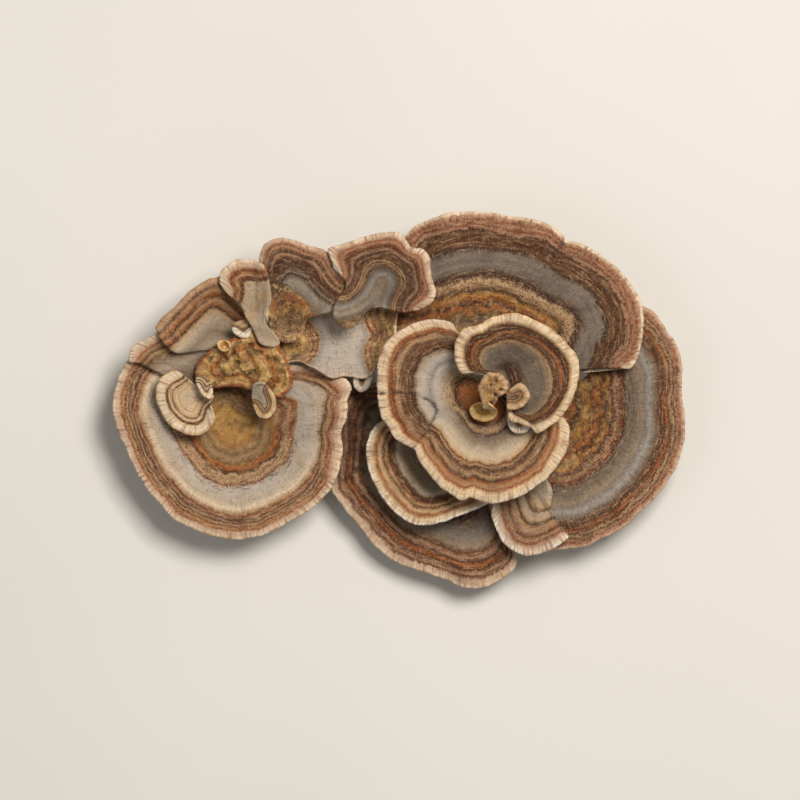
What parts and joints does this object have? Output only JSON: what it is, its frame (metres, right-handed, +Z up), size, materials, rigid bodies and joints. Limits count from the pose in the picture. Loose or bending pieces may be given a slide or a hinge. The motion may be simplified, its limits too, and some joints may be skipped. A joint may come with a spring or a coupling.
{
  "type": "turkey tail fungus cluster",
  "caption": "Low cluster of thin, wavy, concentrically banded bracket fungus caps in overlapping tiers, cut flat underneath where it grew on wood.",
  "frame": {"origin": "on the flat cut at Z = 0, under the centre of the cluster's outline", "axes": "+X along the cluster's length, +Y across it towards the wide back cap, +Z up, away from the wood it grew on"},
  "size_m": [0.1432, 0.0941, 0.0346],
  "materials": {
    "bottom_cap": "matte",
    "left_rosette": "matte",
    "right_cap": "matte",
    "upper_back_cap": "matte",
    "joining_plate": "matte",
    "middle_bud_cap": "matte",
    "upper_dark_cap": "matte",
    "middle_cap": "matte",
    "west_lobe": "matte",
    "north_west_lobe": "matte",
    "left_core": "matte",
    "left_bud_cap": "matte",
    "core_bud_cap": "matte",
    "upper_left_cap": "matte",
    "left_fan_cap": "matte",
    "left_lip_cap": "matte",
    "left_tongue_cap": "matte",
    "mid_cap": "matte",
    "lower_fan_cap": "matte",
    "top_cap": "matte",
    "inner_bud_cap": "matte",
    "spiral_cap": "matte",
    "centre_knob": "matte",
    "knob_cap": "matte",
    "inner_fan_cap": "matte"
  },
  "bodies": {
    "root": {"bottom_cap": "bottom_cap", "left_rosette": "left_rosette", "right_cap": "right_cap", "upper_back_cap": "upper_back_cap", "joining_plate": "joining_plate", "middle_bud_cap": "middle_bud_cap", "upper_dark_cap": "upper_dark_cap", "middle_cap": "middle_cap", "west_lobe": "west_lobe", "north_west_lobe": "north_west_lobe", "left_core": "left_core", "left_bud_cap": "left_bud_cap", "core_bud_cap": "core_bud_cap", "upper_left_cap": "upper_left_cap", "left_fan_cap": "left_fan_cap", "left_lip_cap": "left_lip_cap", "left_tongue_cap": "left_tongue_cap", "mid_cap": "mid_cap", "lower_fan_cap": "lower_fan_cap", "top_cap": "top_cap", "inner_bud_cap": "inner_bud_cap", "spiral_cap": "spiral_cap", "centre_knob": "centre_knob", "knob_cap": "knob_cap", "inner_fan_cap": "inner_fan_cap"}
  },
  "joints": []
}
